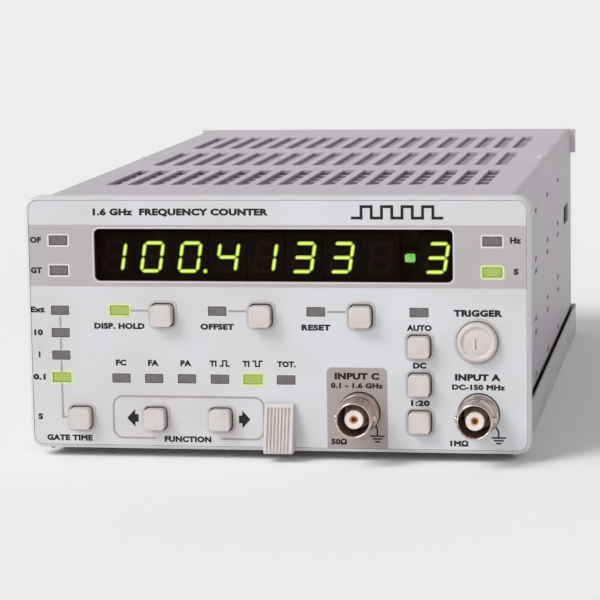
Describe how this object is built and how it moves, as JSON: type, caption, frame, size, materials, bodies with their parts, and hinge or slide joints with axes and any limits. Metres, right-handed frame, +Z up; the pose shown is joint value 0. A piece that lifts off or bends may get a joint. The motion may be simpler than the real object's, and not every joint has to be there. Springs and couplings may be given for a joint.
{
  "type": "frequency counter",
  "caption": "Plug-in bench frequency counter module: folded vented case, grey front panel with LED display, sprung keys, trigger knob, bayonet input sockets and a rear card-edge plug.",
  "frame": {"origin": "centre of the underside, on the plane the module rests on, midway between the front panel's face and the rear panel", "axes": "+Z up, +X to the right seen from the front, the front panel faces -Y"},
  "size_m": [0.135, 0.25, 0.0709],
  "materials": {
    "bezel_plastic": "satin light grey",
    "front_foil": "printed satin foil",
    "window_plastic": "dark gloss filter",
    "cover_paint": "fine satin paint",
    "tray_steel": "grey satin",
    "rear_aluminium": "chromated",
    "frame_steel": "zinc plated",
    "screw_steel": "plated",
    "board_laminate": "green solder mask",
    "gold_contact": "gold plated",
    "black_plastic": "moulded",
    "lit_green": "lit",
    "sign_green": "lit",
    "led_grey": "diffused",
    "key_plastic": "satin",
    "socket_nickel": "nickel plated",
    "insulator_white": "white",
    "pot_blue": "moulded",
    "tin_plate": "tinned",
    "capacitor_sleeve": "sleeve",
    "heat_sink": "anodised"
  },
  "bodies": {
    "case": {"front_bezel": "bezel_plastic", "front_foil": "front_foil", "display_window": "window_plastic", "sub_panel": "frame_steel", "top_cover": "cover_paint", "bottom_tray": "tray_steel", "rear_panel": "rear_aluminium", "side_frame_left": "frame_steel", "side_frame_right": "frame_steel", "screening_lid": "frame_steel", "cover_rivets": "screw_steel", "rear_screws": "screw_steel", "tray_screws": "screw_steel", "main_board": "board_laminate", "edge_contacts": "gold_contact", "display_board": "board_laminate", "board_link": "black_plastic", "board_standoffs": "screw_steel", "board_screws": "screw_steel", "digit_displays": "black_plastic", "lit_segments": "lit_green", "sign_led": "sign_green", "leds_lit": "lit_green", "leds_off": "led_grey", "led_leads": "screw_steel", "key_switches": "black_plastic", "pot_body": "pot_blue", "input_a_shell": "socket_nickel", "input_a_insulator": "insulator_white", "input_a_contact": "gold_contact", "input_a_nut": "screw_steel", "input_c_shell": "socket_nickel", "input_c_insulator": "insulator_white", "input_c_contact": "gold_contact", "input_c_nut": "screw_steel", "input_screen_a": "tin_plate", "input_screen_c": "tin_plate", "reference_oscillator": "tin_plate", "processor_chip": "black_plastic", "logic_chips": "black_plastic", "capacitors": "capacitor_sleeve", "regulators": "black_plastic", "heat_sink": "heat_sink"},
    "gate_time_key_body": {"gate_time_key": "key_plastic"},
    "disp_hold_key_body": {"disp_hold_key": "key_plastic"},
    "offset_key_body": {"offset_key": "key_plastic"},
    "reset_key_body": {"reset_key": "key_plastic"},
    "function_left_key_body": {"function_left_key": "key_plastic"},
    "function_right_key_body": {"function_right_key": "key_plastic"},
    "auto_key_body": {"auto_key": "key_plastic"},
    "dc_key_body": {"dc_key": "key_plastic"},
    "attenuator_key_body": {"attenuator_key": "key_plastic"},
    "trigger_control": {"trigger_knob": "key_plastic", "pot_shaft": "screw_steel"},
    "release_latch": {"latch_grip": "key_plastic", "latch_strip": "frame_steel"}
  },
  "joints": [
    {"name": "gate_time_key_press", "type": "slide", "parent": "case", "child": "gate_time_key_body", "axis": [0, 1, 0], "range_m": [0, 0.0012], "stiffness_N_per_m": 800, "springref_m": -0.001},
    {"name": "disp_hold_key_press", "type": "slide", "parent": "case", "child": "disp_hold_key_body", "axis": [0, 1, 0], "range_m": [0, 0.0012], "stiffness_N_per_m": 800, "springref_m": -0.001},
    {"name": "offset_key_press", "type": "slide", "parent": "case", "child": "offset_key_body", "axis": [0, 1, 0], "range_m": [0, 0.0012], "stiffness_N_per_m": 800, "springref_m": -0.001},
    {"name": "reset_key_press", "type": "slide", "parent": "case", "child": "reset_key_body", "axis": [0, 1, 0], "range_m": [0, 0.0012], "stiffness_N_per_m": 800, "springref_m": -0.001},
    {"name": "function_left_key_press", "type": "slide", "parent": "case", "child": "function_left_key_body", "axis": [0, 1, 0], "range_m": [0, 0.0012], "stiffness_N_per_m": 800, "springref_m": -0.001},
    {"name": "function_right_key_press", "type": "slide", "parent": "case", "child": "function_right_key_body", "axis": [0, 1, 0], "range_m": [0, 0.0012], "stiffness_N_per_m": 800, "springref_m": -0.001},
    {"name": "auto_key_press", "type": "slide", "parent": "case", "child": "auto_key_body", "axis": [0, 1, 0], "range_m": [0, 0.0012], "stiffness_N_per_m": 800, "springref_m": -0.001},
    {"name": "dc_key_press", "type": "slide", "parent": "case", "child": "dc_key_body", "axis": [0, 1, 0], "range_m": [0, 0.0012], "stiffness_N_per_m": 800, "springref_m": -0.001},
    {"name": "attenuator_key_press", "type": "slide", "parent": "case", "child": "attenuator_key_body", "axis": [0, 1, 0], "range_m": [0, 0.0012], "stiffness_N_per_m": 800, "springref_m": -0.001},
    {"name": "trigger_turn", "type": "hinge", "parent": "case", "child": "trigger_control", "pos_m": [0.0536, -0.114, 0.0324], "axis": [0, 1, 0], "range_deg": [-145, 145]},
    {"name": "latch_pull", "type": "slide", "parent": "case", "child": "release_latch", "axis": [0, -1, 0], "range_m": [0, 0.005], "stiffness_N_per_m": 400, "springref_m": -0.003}
  ]
}
